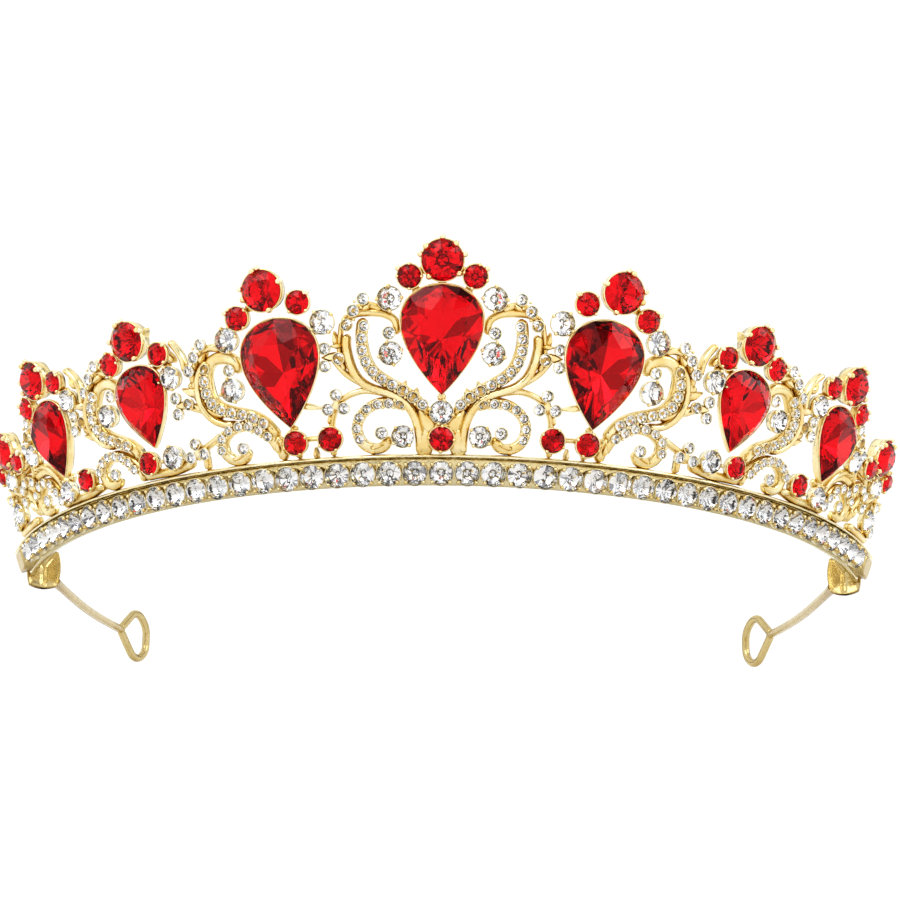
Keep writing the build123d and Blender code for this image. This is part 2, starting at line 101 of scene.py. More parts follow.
PEAR_GIRDLE = 0.15
PEAR_ROOM = 0.65  # between the stone's point and the setting's back
SETTING_PROFILE = [(-3.0, PEAR_BACK + 0.2), (-1.6, -2.3), (-0.5, -1.5), (0.05, -0.8), (0.22, -0.3),
                   (0.24, 0.0), (0.18, 0.12), (0.08, 0.14), (0.0, 0.08), (-0.02, -0.2),
                   (-3.0, PEAR_BACK + 0.6)]  # (out from the stone's edge, n)
BAR_SECTION = [(-0.8, 0.0), (0.8, 0.0), (1.0, 0.25), (0.97, 0.6), (0.75, 0.86), (0.4, 0.98),
               (0.0, 1.02), (-0.4, 0.98), (-0.75, 0.86), (-0.97, 0.6), (-1.0, 0.25)]
LEAF_LAYERS = [(1.0, -2.0), (1.0, -0.95), (0.86, -0.6), (0.5, -0.3)]  # (share, n)
LEAF_SIDES = 16
TAB_INNER = 70.0
TAB_OUTER = 75.9
TAB_HEIGHT = 7.2
TAB_THICKNESS = 1.2
ARM_ROUTE = [(69.23, -15.77, 1.7), (67.0, 15.0, 3.85)]
ARM_BEND = 400.0
EYE_MIDDLE = (61.8, 44.6, 6.67)
EYE_TURN = radians(25.2)
EYE_FORK = (-5.2, 0.0)
EYE_CORNERS = [(0.8, -5.45), (4.6, -2.4), (4.6, 2.4), (0.8, 5.45)]
EYE_BEND = 3.2
FORK_BEND = 0.9
EYE_WIRE = (0.78, 0.76)  # half widths
ARM_WIRE = (0.79, 0.78)
ARM_ROOT = 0.35  # extra half width where the arm leaves its tab
WIRE_SIDES = 16

CENTRE = dict(
    angle=0.0,
    pear=(0.0, 21.0, 13.0, 17.3, 0.0),
    reds=[(0.0, 33.4, 6.6), (-5.2, 30.9, 3.8), (5.2, 30.9, 3.8), (0.0, 5.4, 3.9)],
    clears=[(0.0, 9.6, 3.7)],
    prongs=[(0, 0), (0, 75), (0, -75), (1, -55), (2, 55)],
)
CENTRE_SIDE = dict(
    angle=0.0,
    clears=[(8.35, 27.5, 3.9), (8.1, 18.9, 3.7), (8.4, 22.1, 1.9), (6.1, 5.8, 3.5), (9.5, 6.4, 1.9),
            (16.5, 18.4, 1.8), (18.8, 20.1, 1.8), (18.7, 17.3, 1.8),
            (16.9, 12.7, 1.8), (15.6, 10.5, 1.8), (18.2, 10.5, 1.8)],
    rows=[
        ([(12.4, 23.3), (12.8, 21.3), (12.5, 18.6), (10.9, 16.0), (8.2, 14.2), (5.5, 12.6),
          (3.0, 10.8)], 10, 1.6),
        ([(6.6, 10.8), (9.4, 11.0), (12.4, 9.9), (13.5, 7.4), (13.0, 5.5)], 7, 1.4),
        ([(12.6, 27.6), (14.2, 25.8), (15.2, 23.6)], 3, 1.8),
    ],
    strips=[
        ([(12.7, 24.6), (13.0, 22.2), (12.6, 19.2), (11.3, 16.4), (8.6, 14.3), (5.8, 12.7),
          (3.6, 10.9), (2.0, 8.4)], 2.0),
        ([(5.4, 10.4), (9.0, 11.2), (12.3, 10.0), (13.6, 7.6), (13.0, 5.3), (11.0, 4.0), (9.2, 4.3),
          (8.4, 5.8)], 1.8),
        ([(7.3, 21.8), (7.6, 24.0), (9.4, 25.1), (11.8, 25.4), (14.2, 25.2), (15.8, 24.0)], 1.3),
        ([(9.6, 25.7), (12.0, 26.6), (14.1, 25.9), (15.6, 23.8)], 1.2),
        ([(9.6, 12.7), (12.6, 13.1), (15.2, 12.4), (16.9, 11.4)], 1.1),
        ([(13.0, 14.3), (15.6, 16.0), (17.6, 18.4)], 1.0),
        ([(16.2, 24.2), (16.5, 21.6), (16.5, 19.0), (15.6, 16.4)], 0.9),
        ([(17.2, 10.4), (17.7, 8.6), (17.7, 7.0)], 1.0),
        ([(11.0, 4.4), (11.0, 3.0)], 1.6),
    ],
    ribs=[
        ([(15.3, 22.2), (15.4, 20.6), (15.0, 18.4), (14.0, 15.9), (12.0, 13.9), (9.2, 12.8),
          (6.4, 11.5), (4.5, 9.2), (3.6, 6.4), (3.4, 3.0)], 1.5),
    ],
)
SIDE_PRONGS = [(0, 5), (0, 80), (0, -70), (1, -50), (2, 60)]
FIRST = dict(
    angle=17.6,
    pear=(0.0, 16.8, 13.0, 17.4, 3.7),
    reds=[(2.2, 30.1, 6.6), (-3.6, 27.7, 3.8), (6.9, 26.2, 3.8), (-1.0, 5.6, 3.8),
          (-6.8, 5.8, 3.8)],
    clears=[(-7.3, 24.3, 3.9), (9.2, 23.0, 3.9), (9.0, 15.0, 3.8), (9.4, 18.2, 1.8),
            (8.2, 5.6, 1.8), (19.9, 15.2, 1.8), (17.5, 13.9, 1.8), (19.7, 12.6, 1.8),
            (17.0, 7.4, 1.8), (15.4, 5.6, 1.8), (18.0, 5.4, 1.8)],
    rows=[
        ([(13.8, 19.0), (14.1, 17.0), (13.8, 14.8), (12.4, 12.7), (9.9, 11.5), (6.8, 10.6),
          (4.2, 9.2)], 9, 1.6),
        ([(3.7, 7.0), (6.7, 8.9), (10.2, 8.8), (12.0, 7.4), (12.1, 5.7)], 7, 1.4),
        ([(14.2, 23.0), (15.7, 21.1), (16.8, 19.1)], 3, 1.8),
    ],
    strips=[
        ([(8.3, 17.6), (8.9, 19.6), (11.0, 20.4), (13.0, 20.0), (14.0, 18.2), (14.0, 16.2),
          (13.5, 14.2), (12.2, 12.6), (9.9, 11.5), (6.8, 10.6), (4.2, 9.0), (2.4, 6.6)], 2.1),
        ([(2.2, 4.4), (3.7, 7.0), (6.7, 8.9), (10.2, 8.8), (12.0, 7.4), (12.1, 5.5),
          (10.6, 4.0), (8.6, 4.0), (7.8, 5.4)], 1.8),
        ([(1.6, 3.0), (1.9, 5.0), (2.6, 7.0)], 1.8),
        ([(-6.8, 5.9), (-1.0, 5.9), (2.0, 5.4)], 0.9),
        ([(-6.8, 5.9), (-6.8, 3.0)], 1.0),
        ([(-1.0, 5.9), (-1.0, 3.0)], 1.0),
        ([(11.5, 11.2), (14.4, 12.4), (16.2, 14.8), (17.4, 17.4)], 1.2),
        ([(13.6, 11.9), (16.4, 12.8), (18.6, 13.8)], 1.0),
        ([(12.4, 8.2), (15.2, 6.8), (17.2, 6.0)], 1.2),
        ([(15.8, 6.0), (15.6, 3.0)], 1.0),
        ([(10.0, 3.8), (10.0, 3.0)], 1.6),
        ([(11.0, 21.8), (13.6, 22.2), (15.4, 20.8), (16.5, 18.8), (16.8, 17.0)], 1.3),
        ([(15.2, 16.0), (17.2, 17.4)], 2.2),
    ],
    ribs=[
        ([(13.4, 20.2), (15.1, 18.5), (15.7, 16.2), (15.4, 13.7), (14.1, 11.5), (12.0, 10.0),
          (9.4, 9.6)], 1.3),
    ],
    prongs=SIDE_PRONGS,
)
SECOND = dict(
    angle=36.0,
    pear=(-0.35, 14.9, 10.2, 13.5, 6.5),
    reds=[(0.6, 25.9, 6.4), (-5.1, 22.8, 3.7), (5.3, 23.0, 3.8), (1.0, 5.8, 3.7)],
    clears=[(-6.5, 18.6, 3.8), (-4.2, 5.9, 3.8), (8.1, 15.0, 3.8), (6.8, 18.0, 1.8),
            (9.2, 5.4, 1.8), (16.8, 16.8, 1.8), (14.9, 15.4, 1.8), (17.1, 14.4, 1.8)],
    rows=[
        ([(11.1, 18.8), (12.2, 16.5), (11.9, 14.1), (10.3, 12.0), (7.6, 10.6), (5.2, 9.4)], 8, 1.6),
        ([(4.6, 5.4), (6.0, 7.1), (8.6, 8.4), (11.4, 8.2), (13.0, 6.6)], 7, 1.4),
        ([(9.4, 23.6), (11.3, 21.8), (12.9, 19.9)], 3, 1.8),
    ],
    strips=[
        ([(5.7, 17.4), (6.2, 19.4), (8.2, 20.3), (10.2, 19.9), (11.5, 18.2), (12.2, 16.3),
          (11.8, 14.0), (10.2, 12.0), (7.6, 10.6), (5.0, 9.2), (3.2, 6.8)], 2.0),
        ([(3.4, 4.0), (4.4, 5.6), (6.2, 7.3), (8.6, 8.4), (11.4, 8.1), (13.0, 6.6), (12.6, 4.8),
          (10.9, 3.9), (9.2, 4.4)], 1.8),
        ([(2.6, 3.2), (2.8, 5.2), (3.4, 7.2)], 1.6),
        ([(-7.2, 4.6), (-3.9, 3.9), (1.0, 3.9), (3.2, 3.9)], 1.6),
        ([(12.2, 16.0), (15.2, 17.2)], 2.2),
        ([(10.8, 12.0), (13.2, 13.2), (15.8, 14.6)], 1.8),
        ([(10.9, 4.2), (10.9, 3.0)], 1.6),
        ([(7.4, 21.8), (9.6, 22.4), (11.6, 21.2), (13.0, 19.4), (13.8, 17.0)], 1.3),
        ([(-6.9, 24.6), (-8.7, 21.8), (-9.0, 19.0)], 1.1),
    ],
    ribs=[
        ([(11.6, 19.6), (13.4, 18.0), (13.9, 15.6), (13.1, 13.0), (11.2, 11.0), (8.8, 9.9)], 1.2),
    ],
    prongs=SIDE_PRONGS,
)
THIRD = dict(
    angle=51.7,
    pear=(0.6, 14.5, 10.0, 13.2, 6.0),
    reds=[(2.6, 25.2, 6.4), (-3.4, 23.4, 3.8), (6.6, 21.3, 3.8), (-5.5, 6.0, 3.8)],
    clears=[(-5.7, 19.6, 3.8), (0.4, 5.3, 3.7), (3.5, 4.6, 1.8), (8.9, 13.6, 3.8), (8.2, 5.6, 1.8)],
    rows=[
        ([(4.6, 6.2), (6.6, 8.2), (9.6, 8.6), (12.0, 7.4)], 5, 1.4),
        ([(12.2, 9.8), (13.8, 10.4), (15.6, 10.4)], 3, 1.5),
        ([(8.6, 19.2), (10.0, 17.2), (11.6, 15.4)], 3, 1.8),
    ],
    ribs=[
        ([(2.4, 7.2), (4.6, 9.8), (7.6, 11.4), (10.8, 11.6)], 1.1),
    ],
    strips=[
        ([(-7.6, 4.4), (-5.5, 3.9), (0.4, 3.8), (4.4, 3.8)], 1.5),
        ([(2.6, 5.6), (4.4, 8.6), (7.4, 10.4), (11.8, 10.2)], 1.7),
        ([(4.0, 4.0), (4.8, 6.2), (6.6, 8.0), (9.6, 8.6), (12.0, 7.4), (12.2, 5.4), (10.6, 4.0),
          (8.4, 4.2)], 1.7),
        ([(7.2, 19.8), (8.7, 18.8), (10.0, 16.8), (11.2, 15.0), (11.4, 12.4), (10.6, 10.6)], 1.3),
        ([(-5.6, 25.0), (-7.8, 22.6), (-8.3, 19.8), (-7.6, 17.6)], 1.1),
        ([(10.4, 4.2), (10.4, 3.0)], 1.6),
    ],
    prongs=SIDE_PRONGS,
)
END = dict(
    angle=65.0,
    reds=[(0.6, 17.4, 6.4), (-3.9, 14.2, 3.7), (5.3, 14.4, 3.7)],
    clears=[(0.8, 12.0, 3.8), (2.2, 6.4, 3.8), (6.4, 5.2, 1.8), (5.2, 9.4, 1.8), (-1.8, 9.6, 1.6),
            (-1.6, 7.4, 1.6)],
    rows=[],
    strips=[
        ([(-5.0, 12.6), (-1.8, 12.4), (0.8, 9.8), (4.2, 11.2), (6.4, 12.8)], 1.8),
        ([(-6.2, 4.4), (-4.0, 6.0), (-2.2, 8.0), (-1.6, 10.6)], 2.0),
        ([(-2.4, 3.9), (2.2, 3.8), (7.6, 3.9)], 1.5),
        ([(5.4, 11.8), (6.3, 8.2), (6.6, 4.4)], 1.6),
        ([(-5.4, 15.8), (-7.0, 13.6), (-6.8, 11.2), (-5.2, 9.6), (-2.4, 9.8)], 1.1),
    ],
    prongs=SIDE_PRONGS,
)
STATIONS = {"first": FIRST, "second": SECOND, "third": THIRD, "end": END}

# Gold petals between the scrolls, as (u, t, length, width, direction in degrees).
LEAVES = {
    "centre": [(4.1, 12.6, 1.8, 1.9, 100), (6.0, 13.8, 1.8, 1.7, 110), (2.3, 8.0, 5.2, 4.0, 58),
               (2.6, 5.2, 5.4, 4.0, 95), (0.6, 7.5, 1.8, 1.8, 0), (17.2, 21.6, 2.4, 1.5, 80),
               (18.0, 18.7, 3.0, 2.2, 0), (16.9, 11.2, 2.6, 2.4, 90),
               (12.2, 26.2, 2.0, 1.3, -30), (15.8, 24.0, 2.2, 1.5, -70), (18.0, 9.0, 1.8, 1.2, 90),
               (10.2, 4.3, 2.6, 1.3, 170)],
    "first": [(19.0, 13.9, 2.8, 2.2, 0), (16.8, 6.1, 2.8, 2.2, 90), (17.3, 15.9, 3.4, 2.2, 25),
              (15.9, 13.2, 2.4, 1.4, 40), (2.2, 5.2, 2.4, 1.6, 90), (-4.2, 11.0, 3.8, 1.6, 190),
              (-9.0, 20.4, 2.0, 1.4, 0), (14.3, 20.8, 2.2, 1.5, 130),
              (-4.0, 3.8, 1.8, 1.2, 90), (9.4, 4.2, 2.4, 1.2, 170)],
    "second": [(16.2, 15.5, 2.8, 2.2, 0), (15.4, 18.2, 3.2, 1.9, 20), (14.6, 16.0, 2.6, 1.4, 10),
               (13.8, 12.7, 3.6, 1.7, 20), (6.6, 10.5, 2.6, 1.2, 10), (3.2, 8.2, 2.2, 1.3, 70),
               (9.6, 21.4, 2.2, 1.4, -30), (3.4, 4.4, 2.4, 1.6, 90), (14.8, 4.4, 3.4, 1.8, 10),
               (-6.9, 22.0, 2.2, 1.3, 70), (-2.6, 26.6, 2.0, 1.2, 120)],
    "third": [(9.8, 11.6, 2.8, 1.5, 20), (12.6, 8.8, 2.4, 1.5, -20), (2.6, 7.4, 2.2, 1.3, 80),
              (10.2, 17.4, 2.4, 1.4, -50), (-7.4, 22.2, 2.2, 1.3, 70),
              (13.6, 5.4, 2.6, 1.5, 80)],
    "end": [(-4.6, 10.6, 2.4, 1.5, 60), (4.6, 7.8, 2.4, 1.3, 100), (-3.6, 6.2, 2.6, 1.6, 70),
            (7.8, 10.2, 2.2, 1.3, 70)],
}

# ---------------------------------------------------------------------------- mesh gathering

class Shape:
    """Points and faces of one piece, with a material index, a shading flag and a tone a face, which stone
    materials use as painted facet light.
    """

    def __init__(self):
        self.points, self.faces, self.slots, self.smooth, self.tones = [], [], [], [], []

    def add(self, points, faces, slot=0, smooth=False, tones=None):
        first = len(self.points)
        self.points += [tuple(point) for point in points]
        self.faces += [tuple(first + k for k in face) for face in faces]
        self.slots += [slot] * len(faces)
        self.smooth += [smooth] * len(faces)
        self.tones += tones or [0.5] * len(faces)

    def merge(self, other):
        first = len(self.points)
        self.points += other.points
        self.faces += [tuple(first + k for k in face) for face in other.faces]
        self.slots += other.slots
        self.smooth += other.smooth
        self.tones += other.tones

    def mirrored(self):
        """The same shape on the other side of the tiara."""
        twin = Shape()
        twin.points = [(-x, y, z) for x, y, z in self.points]
        twin.faces = [tuple(reversed(face)) for face in self.faces]
        twin.slots = list(self.slots)
        twin.smooth = list(self.smooth)
        twin.tones = list(self.tones)
        return twin


def make_piece(name, shape, materials, slot, *nodes):
    """Blender object from a shape, riding on the frame in place of CAD nodes."""
    mesh = bpy.data.meshes.new(name)
    mesh.from_pydata([(x * MM, y * MM, z * MM) for x, y, z in shape.points], [], shape.faces)
    mesh.polygons.foreach_set("material_index", shape.slots)
    mesh.polygons.foreach_set("use_smooth", shape.smooth)
    for material in materials:
        mesh.materials.append(material)
    tones = mesh.attributes.new("tone", "FLOAT", "FACE")
    tones.data.foreach_set("value", shape.tones)
    mesh.validate()
    mesh.update()
    piece = bpy.data.objects.new(name, mesh)
    bpy.context.scene.collection.objects.link(piece)
    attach(piece, "root")
    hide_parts(*nodes)
    return piece


# ---------------------------------------------------------------------------- places on the cone

def reach(t, n=0.0):
    """Distance from the tiara's axis to a place on the cone."""
    return BAND_RADIUS + t * sin(FLARE) + n * cos(FLARE)


def rise(t, n=0.0):
    """Height of a place on the cone above the resting edge."""
    return STONE_LINE + t * cos(FLARE) - n * sin(FLARE)


def on_cone(station, u, t, n):
    """Point at (u, t, n) of a station."""
    turn = radians(station) + u / reach(t)
    return (sin(turn) * reach(t, n), AXIS_Y - cos(turn) * reach(t, n), rise(t, n))


def seat(station, u, t, n=0.0, lean=0.0, spin=0.0):
    """Function that carries a flat local shape (x along, y up, z out) to a seat on the cone."""
    turn = radians(station) + u / reach(t)
    along = np.array([cos(turn), sin(turn), 0.0])
    out = np.array([sin(turn) * cos(FLARE), -cos(turn) * cos(FLARE), -sin(FLARE)])
    up = np.cross(out, along)
    tilt = spin - radians(lean)
    x_dir = along * cos(tilt) + up * sin(tilt)
    y_dir = up * cos(tilt) - along * sin(tilt)
    origin = np.array(on_cone(station, u, t, n))
    return lambda points: [origin + x * x_dir + y * y_dir + z * out for x, y, z in points]


def level(width):
    """How far a stone's girdle stands off the cone: small stones sit lower."""
    return PAVE_LIFT if width < SMALL_STONE else 0.0


# ---------------------------------------------------------------------------- basic forms

ON_AXIS = 1e-6
BALL_RINGS = 6
BALL_SEGMENTS = 10


def lathe(profile, segments, closed):
    """Profile of (radius, height) turned about z. An open profile starts and ends on the axis."""
    points, rings = [], []
    for radius, height in profile:
        if radius < ON_AXIS:
            rings.append([len(points)])
            points.append((0.0, 0.0, height))
            continue
        rings.append(list(range(len(points), len(points) + segments)))
        turns = [2 * pi * k / segments for k in range(segments)]
        points += [(radius * cos(a), radius * sin(a), height) for a in turns]
    faces = []
    pairs = list(zip(rings, rings[1:])) + ([(rings[-1], rings[0])] if closed else [])
    for low, high in pairs:
        for k in range(segments):
            after = (k + 1) % segments
            corners = [low[k % len(low)], low[after % len(low)], high[after % len(high)],
                       high[k % len(high)]]
            faces.append(tuple(dict.fromkeys(corners)))
    return points, faces


def ball(radius, middle=(0.0, 0.0, 0.0), stretch=1.0):
    """Small ball, stretched along z if asked."""
    profile = [(radius * sin(pi * k / BALL_RINGS), -radius * cos(pi * k / BALL_RINGS) * stretch)
               for k in range(BALL_RINGS + 1)]
    profile[0], profile[-1] = (0.0, profile[0][1]), (0.0, profile[-1][1])
    points, faces = lathe(profile, BALL_SEGMENTS, False)
    return [(x + middle[0], y + middle[1], z + middle[2]) for x, y, z in points], faces


def smooth_line(points, spacing):
    """Evenly spaced points on a natural cubic spline through the given points."""
    given = np.array(points, float)
    knots = np.concatenate([[0.0], np.cumsum(np.linalg.norm(np.diff(given, axis=0), axis=1))])
    count = len(given)
    if count == 2:
        steps = max(2, int(knots[-1] / spacing) + 1)
        return given[0] + np.linspace(0, 1, steps)[:, None] * (given[1] - given[0])
    gaps = np.diff(knots)
    matrix = np.eye(count)
    right = np.zeros_like(given)
    for k in range(1, count - 1):
        matrix[k, k - 1:k + 2] = gaps[k - 1], 2 * (gaps[k - 1] + gaps[k]), gaps[k]
        right[k] = 6 * ((given[k + 1] - given[k]) / gaps[k] - (given[k] - given[k - 1]) / gaps[k - 1])
    bend = np.linalg.solve(matrix, right)
    places = np.linspace(0, knots[-1], max(4, int(knots[-1] / spacing) + 1))
    span = np.clip(np.searchsorted(knots, places, side="right") - 1, 0, count - 2)
    gap = gaps[span][:, None]
    ahead = (knots[span + 1] - places)[:, None]
    behind = (places - knots[span])[:, None]
    return (bend[span] * ahead**3 / (6 * gap) + bend[span + 1] * behind**3 / (6 * gap)
            + (given[span] / gap - bend[span] * gap / 6) * ahead
            + (given[span + 1] / gap - bend[span + 1] * gap / 6) * behind)


def across(line):
    """Unit vectors to the left of a flat line's direction."""
    forward = np.gradient(line, axis=0)
    forward /= np.linalg.norm(forward, axis=1)[:, None]
    return np.stack([-forward[:, 1], forward[:, 0]], axis=1)


def tube(shape, rings, closed, slot=0):
    """Skin over rings of points, with flat ends unless the tube is closed."""
    size = len(rings[0])
    points = [point for ring in rings for point in ring]
    pairs = list(zip(range(len(rings)), range(1, len(rings))))
    if closed:
        pairs.append((len(rings) - 1, 0))
    faces = [(low * size + k, low * size + (k + 1) % size, high * size + (k + 1) % size,
              high * size + k) for low, high in pairs for k in range(size)]
    shape.add(points, faces, slot, True)
    if not closed:
        last = (len(rings) - 1) * size
        shape.add([points[k] for k in range(size)], [tuple(reversed(range(size)))], slot, True)
        shape.add([points[last + k] for k in range(size)], [tuple(range(size))], slot, True)


# ---------------------------------------------------------------------------- stones

CROWN, PAVILION, TABLE = 0.21, 0.36, 0.52  # shares of a round stone's width
GIRDLE = 0.02
STAR = 0.52  # how far the star facets reach from the table to the edge
ROUND_FOLD, PEAR_FOLD = 8, 9
ROUND_LOWERS, PEAR_LOWERS = 0.86, 0.58
PEAR_TABLE = 0.56
GLASS, FOIL = 0, 1


def brilliant(outline, crown, pavilion, table, girdle, fold, deep):
    """Brilliant cut on any outline: outline(turn, share) gives a point. fold is its number of
    main facets and deep the share of the pavilion's height that the lower facets take up.

    Returns points, glass faces and foiled faces.
    """
    star = table + (1 - table) * STAR
    fall = crown * (1 - (star * cos(pi / fold) - table) / (1 - table))
    points = []

    def ring(offset, share, z):
        first = len(points)
        for k in range(fold):
            x, y = outline(2 * pi * (k + offset) / fold, share)
            points.append((x, y, z))
        return [first + k for k in range(fold)]

    tables = ring(0, table, crown)
    stars = ring(0.5, star, fall)
    mains, halves = ring(0, 1, girdle), ring(0.5, 1, girdle)
    low_mains, low_halves = ring(0, 1, -girdle), ring(0.5, 1, -girdle)
    lowers = ring(0.5, (1 - deep) / cos(pi / fold), -pavilion * deep)
    points.append((*outline(0.0, 0.0), -pavilion))
    tip = len(points) - 1
    glass, foil = [tuple(tables)], []
    for k in range(fold):
        k1 = (k + 1) % fold
        glass += [(tables[k], stars[k], tables[k1]),
                  (tables[k], stars[k - 1], mains[k], stars[k]),
                  (stars[k], mains[k], halves[k]),
                  (stars[k], halves[k], mains[k1]),
                  (mains[k], low_mains[k], low_halves[k], halves[k]),
                  (halves[k], low_halves[k], low_mains[k1], mains[k1])]
        foil += [(tip, lowers[k], low_mains[k], lowers[k - 1]),
                 (low_mains[k], lowers[k], low_halves[k]),
                 (low_halves[k], lowers[k], low_mains[k1])]
    return points, glass, foil


def add_stone(shape, place, cut, chance):
    """Cut stone in its seat. Each facet gets a random tone that paints it lighter or darker, painted
    facet light standing in for real facets that catch light apart.
    """
    points, glass, foil = cut
    first = len(shape.points)
    shape.add(place(points), [])
    for faces, slot in ((glass, GLASS), (foil, FOIL)):
        shape.faces += [tuple(first + k for k in face) for face in faces]
        shape.slots += [slot] * len(faces)
        shape.smooth += [False] * len(faces)
        shape.tones += [chance.random() for face in faces]


def round_cut(width):
    """Round brilliant of the given width."""
    half = width / 2
    return brilliant(lambda turn, share: (half * share * cos(turn), half * share * sin(turn)),
                     CROWN * width, PAVILION * width, TABLE, GIRDLE * width, ROUND_FOLD, ROUND_LOWERS)


def pear_point(width, height, turn, share=1.0):
    """Point of a pear shape about its middle; turn 0 is the tip, at the bottom."""
    return (width / 2 * sin(turn) * sin(turn / 2) / PEAR_PEAK * share if turn <= 2 * pi else 0.0,
            -height / 2 * cos(turn) * share)


def pear_cut(width, height):
    """Pear-shaped brilliant."""
    pavilion = -(PEAR_BACK + PEAR_ROOM)
    return brilliant(lambda turn, share: pear_point(width, height, turn % (2 * pi), share),
                     PEAR_CROWN, pavilion, PEAR_TABLE, PEAR_GIRDLE, PEAR_FOLD, PEAR_LOWERS)


# ---------------------------------------------------------------------------- settings

PALE_GOLD, DEEP_GOLD = 0, 1


def add_cup(shape, station, u, t, width, spin, red=False):
    """Cup with a rolled rim; large stones also get four small prongs over the edge."""
    small = width < SMALL_STONE
    bore = width / 2 - CUP_OVERLAP
    wall = WALL_SMALL if small else WALL_RED if red else WALL_CLEAR
    rim = RIM_SMALL if small else RIM_LARGE
    floor = -PAVILION * width - CUP_DEPTH
    outside = bore + wall
    profile = [(bore * 0.55, floor), (outside * 0.92, -0.35 * width), (outside, -0.1 * width),
               (outside + 0.02, rim * 0.4), (outside - wall * 0.25, rim * 0.9),
               (outside - wall * 0.6, rim), (bore, rim * 0.6), (bore, -0.05), (bore * 0.5, floor + 0.25)]
    place = seat(station, u, t, level(width), spin=spin)
    points, faces = lathe(profile, 20 if small else 32, True)
    shape.add(place(points), faces, DEEP_GOLD if red else PALE_GOLD, True)
    if not small:
        for k in range(4):
            turn = pi / 4 + k * pi / 2
            stem = (bore + CLAW_OUT) * cos(turn), (bore + CLAW_OUT) * sin(turn)
            points, faces = ball(CLAW * width, (*stem, rim + CLAW_UP), CLAW_STRETCH)
            shape.add(place(points), faces, DEEP_GOLD, True)


def add_setting(shape, station, pear):
    """Pear-shaped tray that narrows to the back, with a rolled rim round the stone."""
    u, t, width, height, lean = pear
    place = seat(station, u, t, 0.0, lean)
    rings = []
    for k in range(PEAR_STEPS):
        turn = 2 * pi * k / PEAR_STEPS
        rings.append(place([(*pear_point(width + 2 * out, height + 2 * out, turn), n)
                            for out, n in SETTING_PROFILE]))
    tube(shape, rings, True)


# ---------------------------------------------------------------------------- openwork

def add_bar(shape, station, points, width, top, back=PLATE_BACK):
    """Bar with a domed face along a smooth line, narrowing to a rounded end."""
    line = smooth_line(points, LINE_STEP)
    sideways = across(line)
    run = np.concatenate([[0.0], np.cumsum(np.linalg.norm(np.diff(line, axis=0), axis=1))])
    left = np.minimum(run, run[-1] - run)
    half = width / 2
    narrow = np.sqrt(np.clip(1 - (1 - np.clip(left / half, 0, 1)) ** 2, 0.06, 1))
    rings = []
    for place, side_dir, share in zip(line, sideways, narrow):
        ring = []
        for a, b in BAR_SECTION:
            u, t = place + side_dir * a * half * share
            ring.append(on_cone(station, u, t, back + b * (top - back) * (0.4 + 0.6 * share)))
        rings.append(ring)
    tube(shape, rings, False)


def add_leaf(shape, station, u, t, length, width, turn):
    """Small pointed gold petal with a raised, narrower face."""
    turn = radians(turn)
    outline = []
    for k in range(LEAF_SIDES):
        a = 2 * pi * k / LEAF_SIDES
        outline.append((length / 2 * cos(a), width / 2 * sin(a) * (0.65 - 0.35 * cos(a))))
    rings = []
    for share, n in LEAF_LAYERS:
        ring = []
        for x, y in outline:
            x, y = x * share, y * share
            ring.append(on_cone(station, u + x * cos(turn) - y * sin(turn),
                                t + x * sin(turn) + y * cos(turn), n))
        rings.append(ring)
    tube(shape, rings, False)


def row_places(points, count):
    """Evenly spaced points along a smooth line."""
    line = smooth_line(points, FINE_STEP)
    run = np.concatenate([[0.0], np.cumsum(np.linalg.norm(np.diff(line, axis=0), axis=1))])
    wanted = np.linspace(0, run[-1], count)
    return [(float(np.interp(w, run, line[:, 0])), float(np.interp(w, run, line[:, 1])))
            for w in wanted]


def add_links(shape, angle, stones, pear):
    """Short gold bars that join neighbouring stones, and stones to the pear's setting."""
    spots = [np.array((u, t)) for u, t, width in stones]
    halves = [width / 2 for u, t, width in stones]
    pairs = [(spots[k], halves[k], spots[j], halves[j]) for k in range(len(spots)) for j in range(k)]
    if pear:
        u, t, width, height, lean = pear
        tilt = radians(lean)
        outline = []
        for k in range(PEAR_STEPS):
            x, y = pear_point(width, height, 2 * pi * k / PEAR_STEPS)
            outline.append(np.array((u + x * cos(tilt) + y * sin(tilt),
                                     t + y * cos(tilt) - x * sin(tilt))))
        for spot, half in zip(spots, halves):
            nearest = min(outline, key=lambda point: np.linalg.norm(point - spot))
            pairs.append((spot, half, nearest, 0.0))
    for one, one_half, two, two_half in pairs:
        gap = np.linalg.norm(two - one)
        way = (two - one) / gap
        if 0.0 < gap - one_half - two_half < LINK_REACH:
            start = one + way * one_half * (1 - LINK_OVERLAP)
            finish = two - way * (two_half * (1 - LINK_OVERLAP)
                                  - (LINK_UNDER_PEAR if two_half == 0.0 else 0.0))
            add_bar(shape, angle, [start, finish], LINK_WIDTH, LINK_TOP, LINK_BACK)


def clear_list(station):
    """Every clear stone of a station as (u, t, width)."""
    stones = list(station["clears"])
    for points, count, width in station.get("rows", []):
        stones += [(u, t, width) for u, t in row_places(points, count)]
    return stones


